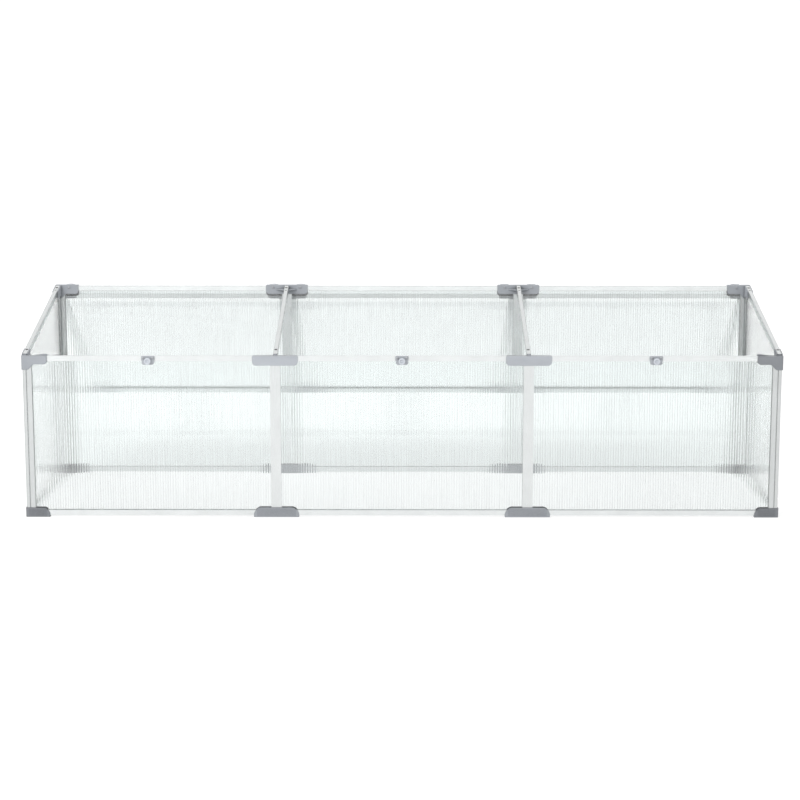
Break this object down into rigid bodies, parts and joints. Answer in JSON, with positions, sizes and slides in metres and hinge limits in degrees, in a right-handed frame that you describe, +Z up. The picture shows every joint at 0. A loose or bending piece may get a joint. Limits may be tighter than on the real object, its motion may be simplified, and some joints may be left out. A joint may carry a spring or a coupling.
{
  "type": "cold frame",
  "caption": "Low garden frame of twin-wall panels in slim channel rails, with hinged lids folded back behind the tall rear wall, each with a drop stay and a clamp knob.",
  "frame": {"origin": "on the ground, in the middle of the rectangle that the feet stand in", "axes": "+X along the frame to the right as seen from the front, +Y from the low front wall to the tall rear wall, +Z up"},
  "size_m": [1.8, 0.955, 0.4982],
  "materials": {
    "aluminium": "satin anodised extrusion with fine die lines",
    "grey_plastic": "moulded grey plastic with a fine spark-eroded texture",
    "knob_plastic": "moulded grey plastic, slightly polished by hands",
    "twin_wall_sheet": "clear twin-wall polycarbonate, streaked by its flutes",
    "black_steel": "black oxide on small countersunk screws",
    "zinc_steel": "bright zinc plate"
  },
  "bodies": {
    "frame": {"corner_post_front_left": "aluminium", "corner_post_front_right": "aluminium", "corner_post_rear_left": "aluminium", "corner_post_rear_right": "aluminium", "inner_posts": "aluminium", "front_sills": "aluminium", "rear_sills": "aluminium", "side_sills": "aluminium", "front_top_rail_left": "aluminium", "front_top_rail_middle": "aluminium", "front_top_rail_right": "aluminium", "rear_top_rail_left": "aluminium", "rear_top_rail_middle": "aluminium", "rear_top_rail_right": "aluminium", "rafter_left_end": "aluminium", "rafter_left_inner": "aluminium", "rafter_right_inner": "aluminium", "rafter_right_end": "aluminium", "corner_feet": "grey_plastic", "tee_feet": "grey_plastic", "stay_brackets": "grey_plastic", "corner_connector_front_left": "grey_plastic", "corner_connector_front_right": "grey_plastic", "corner_connector_rear_left": "grey_plastic", "corner_connector_rear_right": "grey_plastic", "tee_connector_front_left": "grey_plastic", "tee_connector_front_right": "grey_plastic", "tee_connector_rear_left": "grey_plastic", "tee_connector_rear_right": "grey_plastic", "front_panel_left": "twin_wall_sheet", "front_panel_middle": "twin_wall_sheet", "front_panel_right": "twin_wall_sheet", "rear_panel_left": "twin_wall_sheet", "rear_panel_middle": "twin_wall_sheet", "rear_panel_right": "twin_wall_sheet", "side_panel_left": "twin_wall_sheet", "side_panel_right": "twin_wall_sheet", "frame_screws": "zinc_steel", "rafter_screws": "black_steel"},
    "lid_left": {"lid_left_panel": "twin_wall_sheet", "lid_left_hinge_rail": "aluminium", "lid_left_rails": "aluminium", "lid_left_fittings": "grey_plastic", "lid_left_pins": "zinc_steel"},
    "stay_left": {"stay_left": "zinc_steel"},
    "knob_left": {"knob_left": "knob_plastic"},
    "lid_middle": {"lid_middle_panel": "twin_wall_sheet", "lid_middle_hinge_rail": "aluminium", "lid_middle_rails": "aluminium", "lid_middle_fittings": "grey_plastic", "lid_middle_pins": "zinc_steel"},
    "stay_middle": {"stay_middle": "zinc_steel"},
    "knob_middle": {"knob_middle": "knob_plastic"},
    "lid_right": {"lid_right_panel": "twin_wall_sheet", "lid_right_hinge_rail": "aluminium", "lid_right_rails": "aluminium", "lid_right_fittings": "grey_plastic", "lid_right_pins": "zinc_steel"},
    "stay_right": {"stay_right": "zinc_steel"},
    "knob_right": {"knob_right": "knob_plastic"}
  },
  "joints": [
    {"name": "lid_left_hinge", "type": "hinge", "parent": "frame", "child": "lid_left", "pos_m": [-0.6, 0.2715, 0.492], "axis": [1, 0, 0], "range_deg": [0, 230.79]},
    {"name": "stay_left_pivot", "type": "hinge", "parent": "lid_left", "child": "stay_left", "pos_m": [-0.6, 0.68253, 0.14074], "axis": [1, 0, 0], "range_deg": [-38.5, 129.21]},
    {"name": "knob_left_turn", "type": "hinge", "parent": "frame", "child": "knob_left", "pos_m": [-0.6, -0.2622, 0.3787], "axis": [0, 1, 0], "continuous": true},
    {"name": "lid_middle_hinge", "type": "hinge", "parent": "frame", "child": "lid_middle", "pos_m": [0, 0.2715, 0.492], "axis": [1, 0, 0], "range_deg": [0, 230.79]},
    {"name": "stay_middle_pivot", "type": "hinge", "parent": "lid_middle", "child": "stay_middle", "pos_m": [0, 0.68253, 0.14074], "axis": [1, 0, 0], "range_deg": [-38.5, 129.21]},
    {"name": "knob_middle_turn", "type": "hinge", "parent": "frame", "child": "knob_middle", "pos_m": [0, -0.2622, 0.3787], "axis": [0, 1, 0], "continuous": true},
    {"name": "lid_right_hinge", "type": "hinge", "parent": "frame", "child": "lid_right", "pos_m": [0.6, 0.2715, 0.492], "axis": [1, 0, 0], "range_deg": [0, 230.79]},
    {"name": "stay_right_pivot", "type": "hinge", "parent": "lid_right", "child": "stay_right", "pos_m": [0.6, 0.68253, 0.14074], "axis": [1, 0, 0], "range_deg": [-38.5, 129.21]},
    {"name": "knob_right_turn", "type": "hinge", "parent": "frame", "child": "knob_right", "pos_m": [0.6, -0.2622, 0.3787], "axis": [0, 1, 0], "continuous": true}
  ]
}
